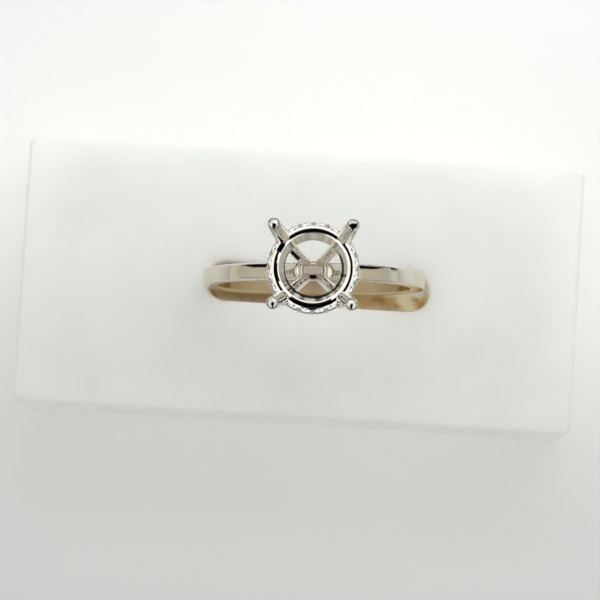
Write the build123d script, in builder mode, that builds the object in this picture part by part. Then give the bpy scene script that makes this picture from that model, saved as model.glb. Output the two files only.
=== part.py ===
"""Semi mount engagement ring standing in the slot of a plain display block.

Millimetres, +Z up, +X along the block, +Y across it. The origin is the centre of the block's underside.
The ring is built about the centre of its finger hole, whose axis is Y, and then stood in the slot.
"""

from build123d import *

import os
from math import cos, radians, sin, sqrt, tan

os.makedirs("parts", exist_ok=True)

# Shank
finger_diameter = 17.35
shank_thickness = 1.38
shank_width = 1.5
shank_dome = 0.07
shank_edge_radius = 0.2

# Centre stone that the empty seat is cut for, a round brilliant that is not part of the ring
centre_stone_diameter = 8.1
pavilion_angle = 41
culet_clearance = 0.2

# Base platform where the legs meet, and the wider boss that carries it on top of the shank
base_length = 1.76
base_width = 0.85
base_height = 0.35
base_corner_radius = 0.25
base_edge_radius = 0.12
boss_length = 2.9
boss_width = 2.0
boss_height = 0.17
boss_taper = 14
boss_corner_radius = 0.7
boss_edge_radius = 0.4

# Halo rail: bore, bevelled seat, crowned land, and an outer face that leans outwards going down
seat_bore_diameter = 4.94
bore_rim_radius = 0.4
seat_bevel_width = 0.53
land_width = 0.72
land_crown_radius = 0.9
land_crest_offset = 0.34
rail_height = 1.15
face_shoulder_drop = 0.42
face_shoulder_step = 0.09
face_flare = 0.3
rail_chamfer = 0.12

# Halo stones: round brilliants in groups between the prongs
halo_stone_diameter = 1.0
halo_stone_pitch = 18
stones_per_group = 4
halo_stone_tilt = 22
halo_stone_depth = 0.08
halo_stone_drop = 0.53
stone_clearance = 0.03
cut_seat_margin = 0.06
bead_diameter = 0.26
bead_height = 0.08
bead_spread = 0.36

# Brilliant cut, as shares of the stone's radius and slopes in degrees
table_share = 0.57
girdle_share = 0.07
crown_slope = 34.5
star_slope = 21
upper_girdle_slope = 41
pavilion_slope = 41
lower_girdle_slope = 42.5
main_facets = 8

# Prongs and legs
prong_count = 4
prong_swell_diameter = 1.38
prong_swell_rise = 0.75
prong_tip_diameter = 1.13
tip_dome_radius = 1.05
tip_rim_radius = 0.3
prong_flare = 15
prong_bite = 0.455
prong_above_girdle = 2.45
leg_root_diameter = 0.9
leg_top_diameter = 1.0
leg_root_offset = 0.95
leg_root_sink = 0.25
leg_bend_radius = 1.0
leg_bend_rise = 0.3

# Display block and its slot
block_length = 51.0
block_width = 24.4
block_thickness = 12.7
block_corner_radius = 0.8
block_edge_radius = 0.4
slot_depth = 6.35
slot_offset = 1.71
slot_side_clearance = 0.38
slot_end_clearance = 0.5
slot_rim_radius = 0.25
slot_floor_radius = 0.4
rest_gap = 0.03

# How the ring happens to stand in its slot: turned a little, and off the slot's middle
ring_turn = 2.6
ring_shift_along = 0.34
ring_shift_across = 0.27

# Sizes that follow from the ones above
finger_radius = finger_diameter / 2
shank_radius = finger_radius + shank_thickness
centre_stone_radius = centre_stone_diameter / 2
base_top = shank_radius + base_height
girdle_height = base_top + culet_clearance + centre_stone_radius * tan(radians(pavilion_angle))

bore_radius = seat_bore_diameter / 2
seat_radius = bore_radius + seat_bevel_width
land_radius = seat_radius + land_width
crest_radius = seat_radius + land_crest_offset


def seat_height(radius):
    """Height of the centre stone's pavilion, and so of its seat, at a distance from the head's axis."""
    return girdle_height - (centre_stone_radius - radius) * tan(radians(pavilion_angle))


def land_height(radius):
    """Height of the crowned land, a shallow arc that starts at the seat's outer edge."""
    sag_at_seat = land_crown_radius - sqrt(land_crown_radius**2 - land_crest_offset**2)
    sag = land_crown_radius - sqrt(land_crown_radius**2 - (radius - crest_radius) ** 2)
    return seat_height(seat_radius) + sag_at_seat - sag


rail_bottom = seat_height(seat_radius) - rail_height
shoulder_radius = land_radius + face_shoulder_step
shoulder_height = land_height(land_radius) - face_shoulder_drop
rail_radius = land_radius + face_flare

ring_bottom = block_thickness - slot_depth + rest_gap
ring_center_height = ring_bottom + shank_radius
half_chord = sqrt(shank_radius**2 - (ring_center_height - block_thickness) ** 2)
slot_length = 2 * (half_chord + ring_shift_along + slot_end_clearance)
turned_width = shank_width * cos(radians(ring_turn)) + 2 * half_chord * sin(radians(ring_turn))
slot_width = turned_width + 2 * (ring_shift_across + slot_side_clearance)
ring_center = (slot_offset - ring_shift_along, ring_shift_across, ring_center_height)
ring_place = Location(ring_center, (0, 0, ring_turn))

# Shank: a flat band section with a slightly domed outside, turned round the finger's axis
with BuildPart() as shank:
    with BuildSketch(Plane.YZ):
        with BuildLine():
            half_width = shank_width / 2
            inner_left = (-half_width, finger_radius)
            inner_right = (half_width, finger_radius)
            outer_left = (-half_width, shank_radius - shank_dome)
            outer_right = (half_width, shank_radius - shank_dome)
            Polyline(outer_left, inner_left, inner_right, outer_right)
            ThreePointArc(outer_left, (0, shank_radius), outer_right)
        section = make_face()
        fillet(section.vertices(), radius=shank_edge_radius)
    revolve(axis=Axis.Y)

# Base platform and boss: both sink into the domed top of the shank, so that they are one piece of metal.
# The boss is wider than the shank, and narrows to it going down.
base_depth = shank_thickness / 2
with BuildPart() as base:
    with BuildSketch(Plane.XY.offset(base_top)):
        RectangleRounded(base_length, base_width, base_corner_radius)
    extrude(amount=-(base_height + base_depth))
    fillet(base.faces().sort_by(Axis.Z)[-1].edges(), radius=base_edge_radius)

with BuildPart() as boss:
    with BuildSketch(Plane.XY.offset(shank_radius + boss_height)):
        RectangleRounded(boss_length, boss_width, boss_corner_radius)
    extrude(amount=-(boss_height + base_depth), taper=boss_taper)
    fillet(boss.faces().sort_by(Axis.Z)[-1].edges(), radius=boss_edge_radius)

# Halo rail, turned round the head's axis
with BuildPart() as rail:
    with BuildSketch(Plane.XZ):
        with BuildLine():
            bore_edge = (bore_radius, seat_height(bore_radius))
            seat_edge = (seat_radius, seat_height(seat_radius))
            land_edge = (land_radius, land_height(land_radius))
            ThreePointArc(seat_edge, (crest_radius, land_height(crest_radius)), land_edge)
            Polyline(
                land_edge,
                (shoulder_radius, shoulder_height),
                (rail_radius, rail_bottom + rail_chamfer),
                (rail_radius - rail_chamfer, rail_bottom),
                (bore_radius + rail_chamfer, rail_bottom),
                (bore_radius, rail_bottom + rail_chamfer),
                bore_edge,
                seat_edge,
            )
        rail_section = make_face()
        bore_corner = rail_section.vertices().sort_by_distance((bore_edge[0], 0, bore_edge[1]))[0]
        fillet(bore_corner, radius=bore_rim_radius)
    revolve(axis=Axis.Z)

# Halo stone: a round brilliant with its girdle on the XY plane and its table up
halo_stone_radius = halo_stone_diameter / 2
half_girdle = girdle_share * halo_stone_radius / 2
table_radius = table_share * halo_stone_radius
crown_top = half_girdle + (halo_stone_radius - table_radius) * tan(radians(crown_slope))
culet_depth = half_girdle + halo_stone_radius * tan(radians(pavilion_slope))
facet_step = 360 / main_facets
girdle_flat = halo_stone_radius * cos(radians(facet_step / 4))
table_flat = table_radius * cos(radians(facet_step / 2))

# Each row: copies, first azimuth, slope, distance of the facet's foot from the axis, its height, up or down
facet_rows = [
    (main_facets, 0, crown_slope, halo_stone_radius, half_girdle, 1),
    (2 * main_facets, facet_step / 4, upper_girdle_slope, girdle_flat, half_girdle, 1),
    (main_facets, facet_step / 2, star_slope, table_flat, crown_top, 1),
    (main_facets, 0, pavilion_slope, halo_stone_radius, -half_girdle, -1),
    (2 * main_facets, facet_step / 4, lower_girdle_slope, girdle_flat, -half_girdle, -1),
]

with BuildPart() as brilliant:
    with BuildSketch(Plane.XY.offset(-culet_depth)):
        RegularPolygon(halo_stone_radius, 2 * main_facets)
    extrude(amount=culet_depth + crown_top)
    for copies, first, slope, foot, height, side in facet_rows:
        for copy in range(copies):
            azimuth = radians(first + copy * 360 / copies)
            facing = (
                sin(radians(slope)) * cos(azimuth),
                sin(radians(slope)) * sin(azimuth),
                side * cos(radians(slope)),
            )
            foot_point = (foot * cos(azimuth), foot * sin(azimuth), height)
            split(bisect_by=Plane(origin=foot_point, z_dir=facing), keep=Keep.BOTTOM)

# Cutter for one halo stone's seat: a cone under the girdle and an open cup above it
with BuildPart() as seat_cutter:
    with BuildSketch(Plane.XZ):
        with BuildLine():
            cup_floor = -half_girdle - stone_clearance
            seat_rim = halo_stone_radius + stone_clearance
            cup_radius = halo_stone_radius + cut_seat_margin
            Polyline(
                (0, -culet_depth - stone_clearance),
                (seat_rim, cup_floor),
                (cup_radius, cup_floor),
                (cup_radius, halo_stone_diameter),
                (0, halo_stone_diameter),
                close=True,
            )
        make_face()
    revolve(axis=Axis.Z)

# Places of the halo stones: groups between the prongs, each stone facing out and a little up
tilt = radians(halo_stone_tilt)
stone_height = land_height(land_radius) - halo_stone_drop + halo_stone_depth * sin(tilt)
face_share = (shoulder_height - stone_height) / (shoulder_height - rail_bottom - rail_chamfer)
face_radius = shoulder_radius + face_share * (rail_radius - shoulder_radius)
stone_radius = face_radius - halo_stone_depth / cos(tilt)


def stone_frame(azimuth):
    """Plane on a halo stone's girdle, with X along the rail and Z out of the table."""
    turn = radians(azimuth)
    return Plane(
        origin=(stone_radius * cos(turn), stone_radius * sin(turn), stone_height),
        x_dir=(-sin(turn), cos(turn), 0),
        z_dir=(cos(tilt) * cos(turn), cos(tilt) * sin(turn), sin(tilt)),
    )


prong_step = 360 / prong_count
first_in_group = -halo_stone_pitch * (stones_per_group - 1) / 2
stone_azimuths = []
bead_centers = []
for group in range(prong_count):
    group_start = group * prong_step + first_in_group
    for place in range(stones_per_group):
        stone_azimuths.append(group_start + place * halo_stone_pitch)
    for place in range(stones_per_group + 1):
        between_stones = stone_frame(group_start + (place - 1 / 2) * halo_stone_pitch)
        for side in (-1, 1):
            bead_center = Vector(0, side * bead_spread, bead_height)
            bead_centers.append(between_stones.from_local_coords(bead_center))

# One prong: a leg from the base, a bend under the rail, and a post that swells at the rail and then tapers
flare = radians(prong_flare)
tip_radius = prong_tip_diameter / 2
leg_radius = leg_top_diameter / 2
girdle_offset = centre_stone_radius + tip_radius - prong_bite
tip_height = girdle_height + prong_above_girdle
tip_offset = girdle_offset + prong_above_girdle * tan(flare)
bend_height = rail_bottom + leg_bend_rise
bend_offset = girdle_offset - (girdle_height - bend_height) * tan(flare)
root_height = base_top - leg_root_sink
root_point = Vector(leg_root_offset, 0, root_height)
bend_point = Vector(bend_offset, 0, bend_height)
tip_point = Vector(tip_offset, 0, tip_height)
leg_direction = (bend_point - root_point).normalized()
prong_direction = (tip_point - bend_point).normalized()
half_turn = radians(leg_direction.get_angle(prong_direction)) / 2
bend_run = leg_bend_radius * tan(half_turn)
bend_start = bend_point - leg_direction * bend_run
bend_end = bend_point + prong_direction * bend_run
swell_point = bend_point + prong_direction * prong_swell_rise

# The prong's tip is a flattened dome on a level circle, and its rim is rounded between the two
rim_share = (tip_radius - tip_rim_radius) / (tip_dome_radius - tip_rim_radius)
dome_edge = tip_dome_radius * rim_share
dome_edge_height = tip_rim_radius * sqrt(1 - rim_share**2)
dome_height = dome_edge_height + tip_dome_radius * (1 - sqrt(1 - rim_share**2))

with BuildPart() as prong_tip:
    with BuildSketch(Plane.XZ):
        with BuildLine():
            TangentArc((tip_radius, 0), (dome_edge, dome_edge_height), tangent=(0, 1))
            TangentArc(
                (dome_edge, dome_edge_height),
                (0, dome_height),
                tangent=(-sqrt(1 - rim_share**2), rim_share),
            )
            Polyline((0, dome_height), (0, 0), (tip_radius, 0))
        make_face()
    revolve(axis=Axis.Z)

with BuildPart() as prong:
    with BuildSketch(Plane(origin=root_point, x_dir=(0, 1, 0), z_dir=leg_direction)):
        Circle(leg_root_diameter / 2)
    with BuildSketch(Plane(origin=bend_start, x_dir=(0, 1, 0), z_dir=leg_direction)):
        Circle(leg_radius)
    loft(ruled=True)
    with BuildLine() as bend_path:
        TangentArc(bend_start, bend_end, tangent=leg_direction)
    with BuildSketch(Plane(origin=bend_start, x_dir=(0, 1, 0), z_dir=leg_direction)):
        Circle(leg_radius)
    sweep(path=bend_path.line)
    with BuildSketch(Plane(origin=bend_end, x_dir=(0, 1, 0), z_dir=prong_direction)):
        Circle(leg_radius)
    with BuildSketch(Plane(origin=swell_point, x_dir=(0, 1, 0), z_dir=prong_direction)):
        Circle(prong_swell_diameter / 2)
    with BuildSketch(Plane(origin=tip_point, x_dir=(0, 1, 0), z_dir=(0, 0, 1))):
        Circle(tip_radius)
    loft(ruled=True)
    with Locations(root_point):
        Sphere(leg_root_diameter / 2)
    with Locations(tip_point):
        add(prong_tip.part)

# Ring mount: the halo rail with its cut seats, the prongs, the beads, the base and the shank, all soldered
with BuildPart() as ring_body:
    add(rail.part)
    with Locations(*[stone_frame(azimuth).location for azimuth in stone_azimuths]):
        add(seat_cutter.part, mode=Mode.SUBTRACT)
    with Locations(*bead_centers):
        Sphere(bead_diameter / 2)
    with PolarLocations(0, prong_count, start_angle=prong_step / 2):
        add(prong.part)
    add(base.part)
    add(boss.part)
    add(shank.part)

with BuildPart() as ring_mount:
    with Locations(ring_place):
        add(ring_body.part)
ring_mount.part.label = "ring_mount"
export_step(ring_mount.part, "parts/ring_mount.step")

for number, azimuth in enumerate(stone_azimuths, start=1):
    with BuildPart() as halo_stone:
        with Locations(ring_place * stone_frame(azimuth).location):
            add(brilliant.part)
    halo_stone.part.label = f"halo_stone_{number:02d}"
    export_step(halo_stone.part, f"parts/halo_stone_{number:02d}.step")

# Display block: a plain slab with one stadium-shaped slot
with BuildPart() as display_block:
    Box(block_length, block_width, block_thickness, align=(Align.CENTER, Align.CENTER, Align.MIN))
    fillet(display_block.edges().filter_by(Axis.Z), radius=block_corner_radius)
    flat_faces = display_block.faces().filter_by(Axis.Z)
    fillet(flat_faces.edges(), radius=block_edge_radius)
    with BuildSketch(Plane.XY.offset(block_thickness)):
        with Locations((slot_offset, 0)):
            SlotOverall(slot_length, slot_width)
    extrude(amount=-slot_depth, mode=Mode.SUBTRACT)
    slot_floor = display_block.faces().filter_by(Axis.Z).sort_by(Axis.Z)[1]
    fillet(slot_floor.edges(), radius=slot_floor_radius)
    slot_rim = display_block.faces().filter_by(Axis.Z).sort_by(Axis.Z)[-1].inner_wires().edges()
    fillet(slot_rim, radius=slot_rim_radius)
display_block.part.label = "display_block"
export_step(display_block.part, "parts/display_block.step")

print(f"ring: {2 * shank_radius:.2f} mm outside, its centre {ring_center_height:.3f} mm up")
print(f"halo: {2 * rail_radius:.2f} mm across, prong tips {tip_offset:.3f} mm from its axis")
print(f"slot: {slot_length:.2f} by {slot_width:.2f} mm")
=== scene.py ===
# %% [markdown]
# A semi mount engagement ring, standing in its display block
#
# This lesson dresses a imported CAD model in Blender. The metal, the small halo stones and the block already
# have their true shapes, so most of the work is in three finishes, the light and the camera.
# Polished metal has almost no look of its own. What the eye sees is the room around it, so the room is
# built as carefully as the metal.

from math import cos, radians, sin, tan

import bpy
from mathutils import Matrix, Vector


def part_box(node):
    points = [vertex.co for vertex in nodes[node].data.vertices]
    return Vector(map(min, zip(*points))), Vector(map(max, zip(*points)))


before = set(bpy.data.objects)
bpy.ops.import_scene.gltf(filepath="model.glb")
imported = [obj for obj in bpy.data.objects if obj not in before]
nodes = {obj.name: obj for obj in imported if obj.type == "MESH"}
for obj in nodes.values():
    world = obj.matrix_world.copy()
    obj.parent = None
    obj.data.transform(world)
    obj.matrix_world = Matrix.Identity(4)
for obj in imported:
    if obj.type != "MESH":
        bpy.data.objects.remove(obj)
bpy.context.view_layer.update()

# %% [markdown]
# Blender counts in metres, but a ring is easier to think of in millimetres. So places and sizes are given
# in millimetres here, and MM turns them into metres. The tops of the block and of the ring are read from
# the model, so that the finishes follow it.

# %% Landmarks
MM = 1000.0
block_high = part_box("display_block")[1]
ring_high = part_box("ring_mount")[1]
block_top = block_high.z * MM
print("block top", round(block_top, 2), "mm, ring top", round(ring_high.z * MM, 2), "mm")

# %% [markdown]
# A finish is a recipe of nodes. Building them by hand in the editor is quick for one finish, but a script
# can be read, changed and run again. Colours are chosen as the eye names them, in sRGB hex, and one
# function turns them into the linear light that Blender works in. One small function adds a node, sets its
# options and links it, so that a finish reads as a list of steps.


# %% Helpers for the node recipes
def linear(hex_colour):
    """Turns an sRGB hex colour into Blender's linear colour, with full opacity."""
    channels = [int(hex_colour[i : i + 2], 16) / 255 for i in (1, 3, 5)]
    return [c / 12.92 if c <= 0.04045 else ((c + 0.055) / 1.055) ** 2.4 for c in channels] + [1.0]


def add_node(tree, kind, settings=None, inputs=None):
    """Adds a node, sets its options, the stops of a colour ramp among them, and sets or links its inputs."""
    node = tree.nodes.new(kind)
    for name, value in (settings or {}).items():
        if name == "stops":
            elements = node.color_ramp.elements
            for element, (position, colour) in zip(elements, (value[0], value[-1])):
                element.position, element.color = position, linear(colour)
            for position, colour in value[1:-1]:
                elements.new(position).color = linear(colour)
        else:
            setattr(node, name, value)
    for name, value in (inputs or {}).items():
        if isinstance(value, bpy.types.NodeSocket):
            tree.links.new(value, node.inputs[name])
        else:
            node.inputs[name].default_value = value
    return node


def start_finish(name):
    """Makes an empty material with a Principled shader. Returns it, its tree, the shader and the place."""
    finish = bpy.data.materials.new(name)
    finish.use_nodes = True
    tree = finish.node_tree
    tree.nodes.clear()
    shader = add_node(tree, "ShaderNodeBsdfPrincipled")
    add_node(tree, "ShaderNodeOutputMaterial", inputs={"Surface": shader.outputs["BSDF"]})
    place = add_node(tree, "ShaderNodeTexCoord").outputs["Object"]
    return finish, tree, shader, place


print("mid grey in linear light:", round(linear("#808080")[0], 3))

# %% [markdown]
# Polished white gold
#
# The ring is cast in white gold, polished with rouge and often flashed with rhodium. The alloy is a little
# warm, and wear lets that warmth through where fingers rub. A polishing wheel leaves soft waves and fine
# hairlines, which bend the reflections.
# A photograph of scratches could be wrapped round the ring, but it would have to be unwrapped first and
# would blur up close. Noise in the ring's own space needs neither and is sharp at any size, so every mark
# here is made from it. Real hairlines are a few microns wide. They are drawn about 0.15 mm apart, so that
# they still show.

# %% The polished metal
wear_size = 2.5
hairline_spacing = 0.15
hairline_stretch = (0.08, 1.0, 1.0)
wave_size = 0.7

white_gold, tree, shader, place = start_finish("polished_white_gold")
wear = add_node(
    tree,
    "ShaderNodeTexNoise",
    inputs={"Vector": place, "Scale": MM / wear_size, "Detail": 3.0, "Roughness": 0.55},
)
wear_stops = ((0.35, "#eeece8"), (0.65, "#e6e2d8"))
wear_colour = add_node(tree, "ShaderNodeValToRGB", {"stops": wear_stops}, {"Fac": wear.outputs["Fac"]})
stretched = add_node(tree, "ShaderNodeMapping", inputs={"Vector": place, "Scale": hairline_stretch})
hairlines = add_node(
    tree,
    "ShaderNodeTexNoise",
    inputs={"Vector": stretched.outputs["Vector"], "Scale": MM / hairline_spacing, "Detail": 2.0},
)
polish = add_node(
    tree,
    "ShaderNodeMapRange",
    inputs={"Value": hairlines.outputs["Fac"], "From Min": 0.3, "From Max": 0.8, "To Min": 0.02, "To Max": 0.07},
).outputs["Result"]
waves = add_node(
    tree, "ShaderNodeTexNoise", inputs={"Vector": place, "Scale": MM / wave_size, "Detail": 1.0}
).outputs["Fac"]
print("white gold: waves", wave_size, "mm wide, hairlines every", hairline_spacing, "mm")

# %% [markdown]
# Most marks on the metal are tied to a part of the ring. They could be painted as masks, but a few numbers
# say the same: how high a point is, how far it is from the head's axis, and in which direction from it.
# The head's axis runs through the middle of the base's top. The bore meets the seat a little higher.

# %% Where a point of the metal is, in millimetres
base_middle = (1.37, 0.27, 26.84)
base_top = base_middle[2]
bore_rim = 29.19

height = add_node(
    tree,
    "ShaderNodeMath",
    {"operation": "MULTIPLY"},
    {0: add_node(tree, "ShaderNodeSeparateXYZ", inputs={"Vector": place}).outputs["Z"], 1: MM},
).outputs["Value"]
from_base = add_node(
    tree,
    "ShaderNodeMapping",
    inputs={"Vector": place, "Location": [-v for v in base_middle], "Scale": (MM, MM, MM)},
).outputs["Vector"]
from_axis = add_node(
    tree,
    "ShaderNodeMapping",
    inputs={"Vector": place, "Location": (-base_middle[0], -base_middle[1], 0.0), "Scale": (MM, MM, 0.0)},
).outputs["Vector"]
base_distance = add_node(tree, "ShaderNodeVectorMath", {"operation": "LENGTH"}, {0: from_base}).outputs["Value"]
axis_distance = add_node(tree, "ShaderNodeVectorMath", {"operation": "LENGTH"}, {0: from_axis}).outputs["Value"]
heading = add_node(tree, "ShaderNodeVectorMath", {"operation": "NORMALIZE"}, {0: from_axis}).outputs["Vector"]
beyond_axis = add_node(tree, "ShaderNodeSeparateXYZ", inputs={"Vector": from_axis}).outputs["Y"]
print("the head's axis is at", base_middle[:2], "mm")

# %% [markdown]
# A mark covers an area with soft edges. The area is given by its limits: each names a value, the number
# where the mark starts and the number where it is full. The wheel can't reach the little base at the foot
# of the basket, which keeps the satin of the casting. The part of the shank that sits in the slot is dimmed
# by the same brown compound that stains the slot, and a trace of it has crept up both sides of the shank.


# %% The satin base and the dimmed shank
def soft_area(tree, limits, strength=1.0):
    """Gives a strength, a number or another area's share, where every limit is met, and 0 outside."""
    share = strength
    for value, start, full in limits:
        falls = start > full
        step = add_node(
            tree,
            "ShaderNodeMapRange",
            {"interpolation_type": "SMOOTHSTEP"},
            {
                "Value": value,
                "From Min": min(start, full),
                "From Max": max(start, full),
                "To Min": 1.0 if falls else 0.0,
                "To Max": 0.0 if falls else 1.0,
            },
        ).outputs["Result"]
        share = add_node(tree, "ShaderNodeMath", {"operation": "MULTIPLY"}, {0: share, 1: step}).outputs["Value"]
    return share


satin = soft_area(tree, [(base_distance, 1.25, 0.95), (height, base_top - 0.14, base_top - 0.06)])
in_slot = soft_area(tree, [(height, block_top + 0.2, block_top - 0.6)])
warm_foot = soft_area(tree, [(height, block_top + 14.0, block_top + 3.0)])
slot_bottom = soft_area(tree, [(height, block_top - 3.0, block_top - 5.0)])
print("satin above", round(base_top - 0.14, 2), "mm, dimmed metal under", round(block_top + 0.2, 2), "mm")

# %% [markdown]
# A thin ragged black line is painted where the bore meets the seat: painted shade in that crease. Its circle is a
# little off the head's axis.

# %% The black line in the seat
line_middle = (0.07, -0.09, 0.0)
line_raggedness = 0.15
line_strength = 0.92

line_distance = add_node(
    tree, "ShaderNodeVectorMath", {"operation": "DISTANCE"}, {0: from_axis, 1: line_middle}
).outputs["Value"]
ragged_line = add_node(
    tree, "ShaderNodeMath", {"operation": "MULTIPLY_ADD"}, {0: waves, 1: -line_raggedness, 2: line_distance}
).outputs["Value"]
line_limits = [
    (line_distance, 2.4, 2.46),
    (ragged_line, 2.58, 2.52),
    (height, bore_rim - 0.3, bore_rim - 0.2),
    (beyond_axis, 1.9, 1.0),
]
painted_shade_and_reflections = soft_area(tree, line_limits, line_strength)
print("black line", line_middle[:2], "mm off the head's axis")

# %% [markdown]
# More black is painted behind the stones on the left and on the near side, on the inside of one leg, and at the near
# foot of the base: painted shade in these hollows, and painted dark reflections.
# Each patch is a short arc round the head's axis.

# %% Black patches behind the stones
turn_edge = 1.5
patch_edge = 0.03

# Each row: direction and half width in degrees, inner and outer distance from the axis, lowest and highest
patches = (
    (270, 33, 3.12, 3.44, 29.54, 31.0),
    (152, 7, 3.06, 3.52, 29.54, 31.0),
    (171, 4, 3.17, 3.36, 29.54, 31.0),
    (191, 15, 3.1, 3.4, 29.54, 31.0),
    (147.5, 5.5, 1.5, 2.45, 27.4, 28.5),
    (270, 32, 0.5, 0.76, 26.5, 26.72),
)
for direction, half, inner, outer, lowest, highest in patches:
    towards = (cos(radians(direction)), sin(radians(direction)), 0.0)
    turned_to = add_node(
        tree, "ShaderNodeVectorMath", {"operation": "DOT_PRODUCT"}, {0: heading, 1: towards}
    ).outputs["Value"]
    patch_limits = [
        (turned_to, cos(radians(half + turn_edge)), cos(radians(half - turn_edge))),
        (axis_distance, inner - patch_edge, inner + patch_edge),
        (axis_distance, outer + patch_edge, outer - patch_edge),
        (height, lowest - patch_edge, lowest + patch_edge),
        (height, highest + patch_edge, highest - patch_edge),
    ]
    patch = soft_area(tree, patch_limits)
    painted_shade_and_reflections = add_node(tree, "ShaderNodeMath", {"operation": "MAXIMUM"}, {0: painted_shade_and_reflections, 1: patch}).outputs["Value"]
print("black patches:", len(patches))

# %% [markdown]
# The prongs and legs were shaped with a file and hardly polished, so their surface is uneven and their
# outer parts are dull in patches.

# %% File marks on the prongs
file_mark_size = 0.45
filed_strength = 0.6

filing = add_node(
    tree, "ShaderNodeTexNoise", inputs={"Vector": place, "Scale": MM / file_mark_size, "Detail": 1.0}
).outputs["Fac"]
outside_rail = (axis_distance, 4.1, 4.3)
under_rail = (height, bore_rim - 0.6, bore_rim - 0.8)
above_base = (height, base_top + 0.05, base_top + 0.2)
filed = soft_area(tree, [outside_rail, above_base, (filing, 0.4, 0.55)], filed_strength)
on_prongs = add_node(
    tree,
    "ShaderNodeMath",
    {"operation": "MAXIMUM"},
    {0: soft_area(tree, [outside_rail, above_base]), 1: soft_area(tree, [under_rail, above_base])},
).outputs["Value"]
print("file marks", file_mark_size, "mm wide")

# %% [markdown]
# The far right prong's tip is filed flatter than the others, and a flatter tip mirrors more of the dark
# camera overhead. That is less than a tenth of a millimetre of metal, so a bump is enough: it rises with
# the square of the distance from the tip's middle, which takes away about half of the dome's curve.

# %% The relief of the metal
flat_tip = (3.25, 3.56, 0.0)
flat_tip_radius = 0.5
flat_tip_bend = 0.25
wave_height = 0.004
file_mark_height = 0.04

tip_distance = add_node(
    tree, "ShaderNodeVectorMath", {"operation": "DISTANCE"}, {0: from_axis, 1: flat_tip}
).outputs["Value"]
tip_distance = add_node(
    tree, "ShaderNodeMath", {"operation": "MINIMUM"}, {0: tip_distance, 1: flat_tip_radius}
).outputs["Value"]
tip_square = add_node(
    tree, "ShaderNodeMath", {"operation": "MULTIPLY"}, {0: tip_distance, 1: tip_distance}
).outputs["Value"]
filing_there = add_node(tree, "ShaderNodeMath", {"operation": "MULTIPLY"}, {0: filing, 1: on_prongs}).outputs["Value"]
relief = 0.0
for pattern, rise in ((tip_square, flat_tip_bend), (waves, wave_height), (filing_there, file_mark_height)):
    relief = add_node(
        tree, "ShaderNodeMath", {"operation": "MULTIPLY_ADD"}, {0: pattern, 1: rise, 2: relief}
    ).outputs["Value"]
relief_bump = add_node(tree, "ShaderNodeBump", inputs={"Strength": 1.0, "Distance": 1.0 / MM, "Height": relief})
print("file marks up to", file_mark_height, "mm high, waves", wave_height, "mm")

# %% [markdown]
# The layers are laid over each other from the bottom up: the alloy, the satin of the casting, the dull
# patches, the brown trace, and last the painted black shade and dark reflections.

# %% The metal put together
dull_roughness = 0.38

roughness = polish
for dull_area in (satin, in_slot):
    dulled = add_node(
        tree, "ShaderNodeMath", {"operation": "MULTIPLY"}, {0: dull_area, 1: dull_roughness}
    ).outputs["Value"]
    roughness = add_node(
        tree, "ShaderNodeMath", {"operation": "MAXIMUM"}, {0: roughness, 1: dulled}
    ).outputs["Value"]
metal_layers = (
    (satin, "#e6d9ca"),
    (filed, "#a8a59c"),
    (warm_foot, "#d6c9ae"),
    (in_slot, "#e4d4b6"),
    (slot_bottom, "#c5b091"),
    # painted shade and painted dark reflections, in black
    (painted_shade_and_reflections, "#171411"),
)
colour = wear_colour.outputs["Color"]
for share, layer_colour in metal_layers:
    colour = add_node(
        tree, "ShaderNodeMix", {"data_type": "RGBA"}, {"Factor": share, 6: colour, 7: linear(layer_colour)}
    ).outputs[2]
tree.links.new(colour, shader.inputs["Base Color"])
tree.links.new(roughness, shader.inputs["Roughness"])
tree.links.new(relief_bump.outputs["Normal"], shader.inputs["Normal"])
shader.inputs["Metallic"].default_value = 1.0
print(white_gold.name, "has", len(tree.nodes), "nodes")

# %% [markdown]
# Halo stones
#
# The stones of the hidden halo are full cut melee diamonds of one millimetre. Diamond bends light more
# than any other clear gem, with an index of refraction of 2.42, and that is what makes the facets flash.
# Small stones in a setting are never quite clean, so a faint haze moves across them.
# The Glass shader could do the clear stone. The Principled shader with full transmission gives the same
# clear stone.

# %% Diamond
haze_size = 0.4
diamond_ior = 2.417

diamond, tree, shader, place = start_finish("full_cut_diamond")
haze = add_node(
    tree, "ShaderNodeTexNoise", inputs={"Vector": place, "Scale": MM / haze_size, "Detail": 2.0}
).outputs["Fac"]
haze_stops = ((0.0, "#f3f5f6"), (1.0, "#ffffff"))
haze_colour = add_node(tree, "ShaderNodeValToRGB", {"stops": haze_stops}, {"Fac": haze})
film = add_node(
    tree,
    "ShaderNodeMapRange",
    inputs={"Value": haze, "From Min": 0.45, "From Max": 0.8, "To Min": 0.0, "To Max": 0.06},
)
tree.links.new(haze_colour.outputs["Color"], shader.inputs["Base Color"])
tree.links.new(film.outputs["Result"], shader.inputs["Roughness"])
shader.inputs["IOR"].default_value = diamond_ior
shader.inputs["Transmission Weight"].default_value = 1.0
print(diamond.name, "has", len(tree.nodes), "nodes")

# %% [markdown]
# Frosted acrylic, with a stain in its slot
#
# The block is a milky white plastic, moulded with soft edges and a matt skin, and light soaks into it.
# Rings have been pushed into its slot for years, and polishing compound and tarnish have stained the slot
# brown, darkest on the left and golden on the right. The stain could be painted on by hand. It follows the
# slot's own outline, though, a straight with round ends, so the recipe works out how far each point is from
# that outline, in millimetres. The distance is negative inside the slot.

# %% The distance to the slot's outline
slot_middle = 1.71
slot_half_straight = 8.35
slot_half_width = 1.82

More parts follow.
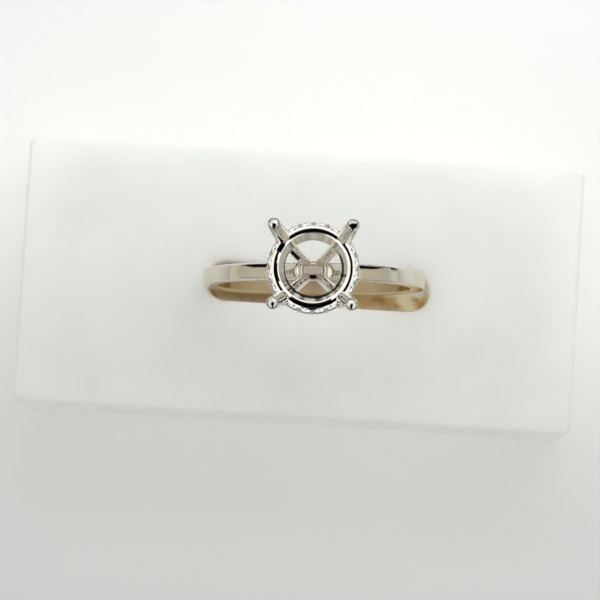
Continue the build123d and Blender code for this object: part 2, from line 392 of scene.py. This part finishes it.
acrylic, tree, shader, place = start_finish("frosted_acrylic")
from_slot = add_node(
    tree,
    "ShaderNodeMapping",
    inputs={"Vector": place, "Location": (-slot_middle, 0.0, -block_top), "Scale": (MM, MM, MM)},
).outputs["Vector"]
along, across, above = add_node(tree, "ShaderNodeSeparateXYZ", inputs={"Vector": from_slot}).outputs
along_size = add_node(tree, "ShaderNodeMath", {"operation": "ABSOLUTE"}, {0: along}).outputs["Value"]
past_straight = add_node(
    tree, "ShaderNodeMath", {"operation": "SUBTRACT"}, {0: along_size, 1: slot_half_straight}
).outputs["Value"]
past_straight = add_node(
    tree, "ShaderNodeMath", {"operation": "MAXIMUM"}, {0: past_straight, 1: 0.0}
).outputs["Value"]
to_centre_line = add_node(
    tree, "ShaderNodeCombineXYZ", inputs={"X": past_straight, "Y": across}
).outputs["Vector"]
centre_distance = add_node(
    tree, "ShaderNodeVectorMath", {"operation": "LENGTH"}, {0: to_centre_line}
).outputs["Value"]
slot_distance = add_node(
    tree, "ShaderNodeMath", {"operation": "SUBTRACT"}, {0: centre_distance, 1: slot_half_width}
).outputs["Value"]
print("slot", round(2 * (slot_half_straight + slot_half_width), 2), "by", 2 * slot_half_width, "mm")

# %% [markdown]
# The stain's edge is soft and uneven. The stain is on the near side of the ring, where the slot is open to
# the eye. Beyond the ring the block is clean, so the stain fades out across the slot. It also thins towards
# the near rim, where fingers and cloths reach it.

# %% How far the stain reaches
ragged_per_mm = 0.9
stain_raggedness = 0.5
strength_at_near_rim = 0.35

ragged = add_node(
    tree, "ShaderNodeTexNoise", inputs={"Vector": from_slot, "Scale": ragged_per_mm, "Detail": 3.0}
).outputs["Fac"]
ragged_distance = add_node(
    tree, "ShaderNodeMath", {"operation": "MULTIPLY_ADD"}, {0: ragged, 1: -stain_raggedness, 2: slot_distance}
).outputs["Value"]
thinned = add_node(
    tree,
    "ShaderNodeMapRange",
    {"interpolation_type": "SMOOTHSTEP"},
    {"Value": across, "From Min": -1.75, "From Max": -0.75, "To Min": strength_at_near_rim, "To Max": 1.0},
).outputs["Result"]
stain_share = soft_area(tree, [(ragged_distance, 0.15, -0.45), (across, 0.4, -0.3)], thinned)
print("the stain keeps", strength_at_near_rim, "of its strength at the near rim")

# %% [markdown]
# Near the right end one slanted streak across the stain is painted pale cream. A Mapping node of the
# texture kind turns the slot's own places into the streak's, so that its sides are two plain limits.

# %% The pale streak
streak_middle = (8.55, -1.0, 0.0)
streak_turn = radians(36.0)

from_streak = add_node(
    tree,
    "ShaderNodeMapping",
    {"vector_type": "TEXTURE"},
    {"Vector": from_slot, "Location": streak_middle, "Rotation": (0.0, 0.0, streak_turn)},
).outputs["Vector"]
streak_axes = add_node(tree, "ShaderNodeSeparateXYZ", inputs={"Vector": from_streak}).outputs
aside, ahead = [
    add_node(tree, "ShaderNodeMath", {"operation": "ABSOLUTE"}, {0: streak_axes[axis]}).outputs["Value"]
    for axis in "XY"
]
streak = soft_area(tree, [(aside, 1.0, 0.2), (ahead, 1.8, 1.1), (slot_distance, 0.1, -0.3)])
print("pale streak at", streak_middle[:2], "mm from the slot's middle")

# %% [markdown]
# The stain's colour changes along the slot. A cloudy pattern shifts the colours back and forth by up to a
# millimetre, and where it is strong it also darkens them into blotches.

# %% The stain's colours
mottles_per_mm = 0.7
stain_half_length = 10.5
colour_shift = 3.0
blotch_strength = 0.65

mottle = add_node(
    tree, "ShaderNodeTexNoise", inputs={"Vector": from_slot, "Scale": mottles_per_mm, "Detail": 4.0}
).outputs["Fac"]
shifted_along = add_node(
    tree, "ShaderNodeMath", {"operation": "MULTIPLY_ADD"}, {0: mottle, 1: colour_shift, 2: along}
).outputs["Value"]
stain_place = add_node(
    tree,
    "ShaderNodeMapRange",
    inputs={
        "Value": shifted_along,
        "From Min": -stain_half_length + colour_shift / 2,
        "From Max": stain_half_length + colour_shift / 2,
    },
).outputs["Result"]
stain_stops = (
    (0.0, "#c2ab7b"),
    (0.12, "#b09867"),
    (0.3, "#b69c6b"),
    (0.5, "#b9a379"),
    (0.7, "#d1b782"),
    (0.82, "#d1b884"),
    (0.93, "#e0c68a"),
    (1.0, "#f8e6b4"),
)
stain_colour = add_node(tree, "ShaderNodeValToRGB", {"stops": stain_stops}, {"Fac": stain_place}).outputs["Color"]
blotches = soft_area(tree, [(mottle, 0.5, 0.62)], blotch_strength)
stain_colour = add_node(
    tree,
    "ShaderNodeMix",
    {"data_type": "RGBA", "blend_type": "MULTIPLY"},
    {"Factor": blotches, 6: stain_colour, 7: linear("#c8b48e")},
).outputs[2]
print("stain colours run", 2 * stain_half_length, "mm along the slot")

# %% [markdown]
# The plastic itself is a cloudy white. Inside the slot it is painted a little whiter, as painted light that lifts the
# shade in the slot. The real frost is finer than a tenth of a millimetre, and is drawn at eight grains to the
# millimetre, so that it still shows. Light soaks in and spreads by a few millimetres. A volume inside the
# block could do that too, but it renders slowly and grainily, and subsurface scattering gives the same soft
# glow.

# %% The milky plastic
clouds_per_mm = 0.12
grains_per_mm = 8.0
grain_height = 0.01
acrylic_ior = 1.49
soak_depth = 3.0
soak_colours = (1.0, 1.0, 0.95)

cloud = add_node(tree, "ShaderNodeTexNoise", inputs={"Vector": from_slot, "Scale": clouds_per_mm, "Detail": 4.0})
milk_stops = ((0.35, "#eceeea"), (0.65, "#f2f3f0"))
colour = add_node(tree, "ShaderNodeValToRGB", {"stops": milk_stops}, {"Fac": cloud.outputs["Fac"]}).outputs["Color"]
block_layers = (
    # painted light: below the slot's rim the plastic is painted whiter, to lift the shade inside the slot
    (soft_area(tree, [(above, -0.1, -0.8)]), linear("#fffef8")),
    (stain_share, stain_colour),
    (streak, linear("#fff6dc")),
)
for share, layer_colour in block_layers:
    colour = add_node(
        tree, "ShaderNodeMix", {"data_type": "RGBA"}, {"Factor": share, 6: colour, 7: layer_colour}
    ).outputs[2]
frost = add_node(
    tree, "ShaderNodeTexNoise", inputs={"Vector": from_slot, "Scale": grains_per_mm, "Detail": 2.0}
).outputs["Fac"]
frost_roughness = add_node(tree, "ShaderNodeMapRange", inputs={"Value": frost, "To Min": 0.38, "To Max": 0.55})
frost_bump = add_node(
    tree, "ShaderNodeBump", inputs={"Strength": 0.5, "Distance": grain_height / MM, "Height": frost}
)
tree.links.new(colour, shader.inputs["Base Color"])
tree.links.new(frost_roughness.outputs["Result"], shader.inputs["Roughness"])
tree.links.new(frost_bump.outputs["Normal"], shader.inputs["Normal"])
shader.inputs["IOR"].default_value = acrylic_ior
shader.inputs["Subsurface Weight"].default_value = 1.0
shader.inputs["Subsurface Radius"].default_value = soak_colours
shader.inputs["Subsurface Scale"].default_value = soak_depth / MM
print(acrylic.name, "has", len(tree.nodes), "nodes")

# %% [markdown]
# Each node of the model now gets its finish: the block acrylic, the ring white gold, and all the others,
# which are the halo stones, diamond.

# %% Put the finishes on
finish_of = {"display_block": acrylic, "ring_mount": white_gold}
for name, node in nodes.items():
    node.data.materials.clear()
    node.data.materials.append(finish_of.get(name, diamond))
print("finished", len(nodes), "nodes")

# %% [markdown]
# The camera
#
# The photo was taken from almost straight above and from far away, which keeps the ring free of
# perspective. The camera leans a few degrees towards the near side and is rolled a little, so that the
# block lies askew in the picture. A long lens gives the same flat look. An orthographic camera would too,
# but it would lose the little perspective that shows the block's near face.

# %% Place the camera
camera_distance = 330.0 / MM
camera_aim = Vector((0.22, -1.64, 16.5)) / MM
lean_near = 4.33
lean_right = 0.86
camera_roll = radians(3.65)
lens_to_picture = 6.087
nearest_seen = 0.01
farthest_seen = 20.0

towards_camera = Vector((tan(radians(lean_right)), -tan(radians(lean_near)), 1.0)).normalized()
level_right = (-towards_camera).cross(Vector((0.0, 1.0, 0.0))).normalized()
level_up = level_right.cross(-towards_camera)
camera_right = cos(camera_roll) * level_right + sin(camera_roll) * level_up
camera_up = cos(camera_roll) * level_up - sin(camera_roll) * level_right

camera = bpy.data.objects.new("camera", bpy.data.cameras.new("camera"))
camera.data.sensor_width = 36.0
camera.data.lens = lens_to_picture * camera.data.sensor_width
camera.data.clip_start = nearest_seen
camera.data.clip_end = farthest_seen
turned = Matrix((camera_right, camera_up, towards_camera)).transposed().to_4x4()
camera.matrix_world = Matrix.Translation(camera_aim + camera_distance * towards_camera) @ turned
bpy.context.scene.collection.objects.link(camera)
bpy.context.scene.camera = camera
print("camera at", [round(v * MM, 1) for v in camera.matrix_world.translation], "mm")

# %% [markdown]
# The floor
#
# The block lies on plain pale paper. A curved studio backdrop would hide the horizon in low views, but from
# above a single wide flat sheet looks the same and takes the light evenly. Its cloudy tone changes over
# about 30 mm.

# %% Lay the floor
floor_size = 400.0
tone_size = 30.0

bpy.ops.mesh.primitive_plane_add(size=floor_size / MM, location=(0.0, 0.0, 0.0))
floor = bpy.context.object
floor.name = "floor"
paper, tree, shader, place = start_finish("matt_white_paper")
tone = add_node(tree, "ShaderNodeTexNoise", inputs={"Vector": place, "Scale": MM / tone_size, "Detail": 3.0})
tone_stops = ((0.0, "#f0f0ef"), (1.0, "#f5f5f4"))
paper_colour = add_node(tree, "ShaderNodeValToRGB", {"stops": tone_stops}, {"Fac": tone.outputs["Fac"]})
tree.links.new(paper_colour.outputs["Color"], shader.inputs["Base Color"])
shader.inputs["Roughness"].default_value = 0.8
floor.data.materials.append(paper)
print("floor", floor_size, "mm wide")

# %% [markdown]
# The room that the metal mirrors
#
# Seen from above, every flat face of the metal mirrors the camera, and every round one mirrors the sides
# of the room. A ready made panorama could be that room, but its dark patches would fall anywhere. Drawn
# with nodes, each patch can be put where the photo's metal shows it.
# The room has a white ceiling and grey walls. Four dark things stand out in it: the camera overhead, its
# stand on the near side, a long low band along the far wall, and the gap under the tent's hem.
# A direction is given by three numbers from minus one to one: how far it points sideways, to the far side,
# and up.

# %% Ceiling and walls
room = bpy.data.worlds.new("room")
bpy.context.scene.world = room
room.use_nodes = True
tree = room.node_tree
tree.nodes.clear()
look = add_node(tree, "ShaderNodeTexCoord").outputs["Generated"]
sideways, far, up = add_node(tree, "ShaderNodeSeparateXYZ", inputs={"Vector": look}).outputs
side_size, far_size = [
    add_node(tree, "ShaderNodeMath", {"operation": "ABSOLUTE"}, {0: axis}).outputs["Value"]
    for axis in (sideways, far)
]
wall_stops = (
    (0.0, "#a6a59d"),
    (0.2, "#aaa9a0"),
    (0.35, "#b3b2a9"),
    (0.62, "#b4b3aa"),
    (0.7, "#d6d5d0"),
    (0.78, "#f0f0ee"),
    (0.88, "#ffffff"),
)
walls = add_node(tree, "ShaderNodeValToRGB", {"stops": wall_stops}, {"Fac": up}).outputs["Color"]
print("tones from the floor to the ceiling:", len(wall_stops))

# %% [markdown]
# A workshop's wall is never empty. Things on shelves make the prongs and the seat's bevel look streaky, so
# a coarse noise stands for them, strong on the far wall and faint on the near one.

# %% Clutter along the near and far walls
clutter_scale = 5.0
far_strength = 0.95
near_strength = 0.25

far_clutter = soft_area(tree, [(far, 0.3, 0.5)], far_strength)
near_clutter = soft_area(tree, [(far, -0.3, -0.5)], near_strength)
clutter = add_node(tree, "ShaderNodeTexNoise", inputs={"Vector": look, "Scale": clutter_scale, "Detail": 2.0})
clutter_stops = ((0.42, "#595853"), (0.58, "#cdccc7"))
clutter_colour = add_node(
    tree, "ShaderNodeValToRGB", {"stops": clutter_stops}, {"Fac": clutter.outputs["Fac"]}
).outputs["Color"]
either_clutter = add_node(
    tree, "ShaderNodeMath", {"operation": "MAXIMUM"}, {0: far_clutter, 1: near_clutter}
).outputs["Value"]
clutter_share = soft_area(tree, [(up, 0.74, 0.64)], either_clutter)
print("clutter", far_strength, "strong on the far wall and", near_strength, "on the near wall")

# %% [markdown]
# The walls are laid up in layers as the metal is: warm at the left and right, greyer at the foot of the
# left wall, paler again close to the horizon, and then the clutter.

# %% The walls put together
wall_layers = (
    ("MULTIPLY", soft_area(tree, [(side_size, 0.45, 0.75), (up, 0.0, 0.45)]), linear("#fff9e6")),
    ("MIX", soft_area(tree, [(sideways, -0.4, -0.8), (up, 0.5, 0.0)]), linear("#acaa9b")),
    ("MIX", soft_area(tree, [(side_size, 0.6, 0.85), (up, 0.14, 0.0)]), linear("#c4c1b1")),
    ("MIX", clutter_share, clutter_colour),
)
for blend, share, layer_colour in wall_layers:
    walls = add_node(
        tree,
        "ShaderNodeMix",
        {"data_type": "RGBA", "blend_type": blend},
        {"Factor": share, 6: walls, 7: layer_colour},
    ).outputs[2]
print("layers on the walls:", len(wall_layers))

# %% [markdown]
# The band draws the thin black line along the shank, and the hem draws the fine outlines of the prongs.
# The band's lower limit leans outwards as it rises, but no further than a height of 0.4, and it turns
# slightly from left to right. Its upper limit leans the other way. That makes the black line on the shank
# taper towards its ends.

# %% The dark band and the hem
band_turn = -0.05
band_lean = 0.3
band_lean_top = 0.4
band_upper_lean = 0.6

low_up = add_node(tree, "ShaderNodeMath", {"operation": "MINIMUM"}, {0: up, 1: band_lean_top}).outputs["Value"]
band_inside = far
for direction, lean in ((sideways, band_turn), (low_up, band_lean)):
    band_inside = add_node(
        tree, "ShaderNodeMath", {"operation": "MULTIPLY_ADD"}, {0: direction, 1: lean, 2: band_inside}
    ).outputs["Value"]
band_outside = add_node(
    tree, "ShaderNodeMath", {"operation": "MULTIPLY_ADD"}, {0: up, 1: -band_upper_lean, 2: far}
).outputs["Value"]
band = soft_area(tree, [(band_inside, 0.29, 0.35), (band_outside, 0.28, 0.18), (up, 0.03, 0.08), (up, 0.72, 0.64)])
hem = soft_area(tree, [(far_size, 0.2, 0.3), (up, 0.05, 0.02)])
print("the band leans by", band_lean, "at its lower limit and", band_upper_lean, "at its upper")

# %% [markdown]
# The camera draws the crisp black arcs on the halo. It is a soft oval on the ceiling, over the place where
# the real camera is. A direction is turned into a place on the ceiling by dividing it by its height, and
# the oval is measured from its own middle. Its stand is a narrow dark strip that runs from the near wall
# up to the camera.

# %% The camera overhead and its stand
lowest_overhead = 0.05
oval_middle = [tan(radians(v)) for v in (lean_right, -lean_near)]
oval_reach = [tan(radians(v)) for v in (16.0, 18.0)]
oval_edge = 0.1

overhead = add_node(tree, "ShaderNodeMath", {"operation": "MAXIMUM"}, {0: up, 1: lowest_overhead}).outputs["Value"]
ceiling_x, ceiling_y = [
    add_node(tree, "ShaderNodeMath", {"operation": "DIVIDE"}, {0: axis, 1: overhead}).outputs["Value"]
    for axis in (sideways, far)
]
ceiling_place = add_node(tree, "ShaderNodeCombineXYZ", inputs={"X": ceiling_x, "Y": ceiling_y}).outputs["Vector"]
from_oval = add_node(
    tree,
    "ShaderNodeMapping",
    inputs={
        "Vector": ceiling_place,
        "Location": (-oval_middle[0] / oval_reach[0], -oval_middle[1] / oval_reach[1], 0.0),
        "Scale": (1 / oval_reach[0], 1 / oval_reach[1], 1.0),
    },
).outputs["Vector"]
oval_distance = add_node(tree, "ShaderNodeVectorMath", {"operation": "LENGTH"}, {0: from_oval}).outputs["Value"]
camera_oval = soft_area(tree, [(oval_distance, 1 + oval_edge, 1 - oval_edge)])
stand = soft_area(tree, [(side_size, 0.17, 0.12), (far, -0.3, -0.4), (up, 0.33, 0.4), (up, 0.97, 0.94)])
dark = band
for dark_thing in (hem, camera_oval, stand):
    dark = add_node(tree, "ShaderNodeMath", {"operation": "MAXIMUM"}, {0: dark, 1: dark_thing}).outputs["Value"]
mirrored = add_node(
    tree, "ShaderNodeMix", {"data_type": "RGBA"}, {"Factor": dark, 6: walls, 7: linear("#060606")}
).outputs[2]
print("the oval's middle leans", lean_near, "degrees to the near side, as the camera does")

# %% [markdown]
# The light of the room
#
# What lights the block is an even white tent. The mirrored room is only for what shines, so that its dark
# patches can be shaped without changing how bright the block is. The little stones gather their light from
# a brighter, plain white room. The picture's own background is plain and pale. The Light Path node says
# which kind of ray is asking, and each kind gets its own room.

# %% Light the room
path = add_node(tree, "ShaderNodeLightPath")
even_room = add_node(tree, "ShaderNodeBackground", inputs={"Color": linear("#f4f4f2"), "Strength": 0.56})
room_light = even_room.outputs["Background"]
rooms_for_rays = (
    ("Is Glossy Ray", mirrored, 1.2),
    ("Is Transmission Ray", linear("#ffffff"), 1.7),
    ("Is Camera Ray", linear("#eeeeec"), 1.0),
)
for kind_of_ray, room_colour, strength in rooms_for_rays:
    its_room = add_node(tree, "ShaderNodeBackground", inputs={"Color": room_colour, "Strength": strength})
    room_light = add_node(
        tree,
        "ShaderNodeMixShader",
        inputs={0: path.outputs[kind_of_ray], 1: room_light, 2: its_room.outputs["Background"]},
    ).outputs["Shader"]
add_node(tree, "ShaderNodeOutputWorld", inputs={"Surface": room_light})
print(room.name, "has", len(tree.nodes), "nodes")

# %% [markdown]
# The lamps
#
# The photo is almost white beyond the far side and greyer towards the near side. The even room alone can't
# do that, so soft panels do. Two hang over the far edge. The larger one gives a faint shadow at the near
# foot of the block. The lower one casts none, as a sheet of diffusing cloth would, and carries most of the
# fall of light. A small third one, low on the near side, lifts the block's near face with a narrow beam.
# The last two hang over the left and right ends of the block. Their narrow beams lift the paper just beside
# it.


# %% Hang the lamps
def hang_panel(name, place, aim, size, watts, shadow, beam=180.0):
    """Hangs a soft rectangular panel that lights the scene but isn't mirrored in the metal."""
    light = bpy.data.lights.new(name, "AREA")
    light.shape = "RECTANGLE"
    light.size, light.size_y = [v / MM for v in size]
    light.energy = watts
    light.use_shadow = shadow
    light.spread = radians(beam)
    panel = bpy.data.objects.new(name, light)
    place, aim = Vector(place) / MM, Vector(aim) / MM
    turn = (place - aim).to_track_quat("Z", "Y").to_matrix().to_4x4()
    panel.matrix_world = Matrix.Translation(place) @ turn
    bpy.context.scene.collection.objects.link(panel)
    panel.visible_camera = False
    panel.visible_glossy = False


hang_panel("far_panel", (20, 65, 100), (10, 50, 0), (150, 60), 0.018, True)
hang_panel("low_panel", (10, 42, 70), (10, 42, 0), (170, 30), 0.041, False)
hang_panel("near_panel", (10, -120, 12), (0, -12.2, 6), (100, 20), 0.0006, True, 24.0)
hang_panel("left_panel", (-32, 9, 80), (-32, 9, 0), (6, 16), 0.00012, True, 20.0)
hang_panel("right_panel", (32, 5, 80), (32, 5, 0), (6, 16), 0.0001, True, 20.0)
print("lamps:", len(bpy.data.lights))

# %% [markdown]
# The tones
#
# Blender's usual view transform softens bright tones, as film does. The photo keeps them, so the plain
# Standard transform is used.

# %% Keep the tones as they are
bpy.context.scene.view_settings.view_transform = "Standard"
print("view transform:", bpy.context.scene.view_settings.view_transform)
